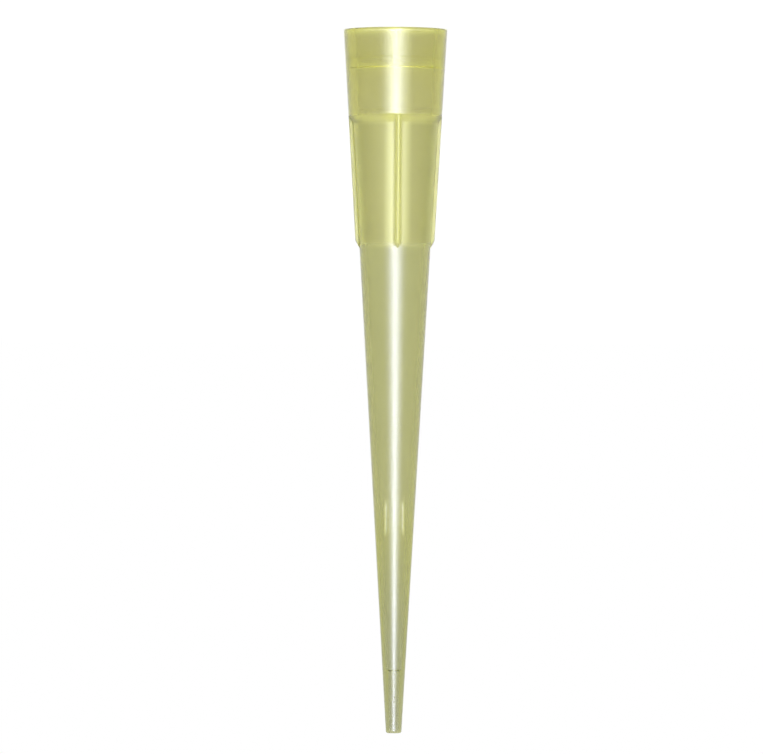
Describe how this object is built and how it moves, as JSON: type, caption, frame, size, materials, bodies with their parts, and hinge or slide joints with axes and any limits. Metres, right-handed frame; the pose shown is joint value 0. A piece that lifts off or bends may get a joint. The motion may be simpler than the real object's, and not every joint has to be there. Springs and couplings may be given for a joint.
{
  "type": "pipette tip",
  "caption": "Tapered yellow plastic pipette tip with a ribbed collar, a sealing socket at its mouth and a fine open point.",
  "frame": {"origin": "centre of the rim face, on the surface that the tip stands on", "axes": "+Z along the tip's axis, from the mouth to the point; two ribs lie on X and two on Y"},
  "size_m": [0.0076, 0.0075, 0.051],
  "materials": {
    "yellow_polypropylene": "translucent moulded polypropylene, tinted yellow, softly glossy and slightly hazy"
  },
  "bodies": {
    "root": {"pipette_tip": "yellow_polypropylene"}
  },
  "joints": []
}
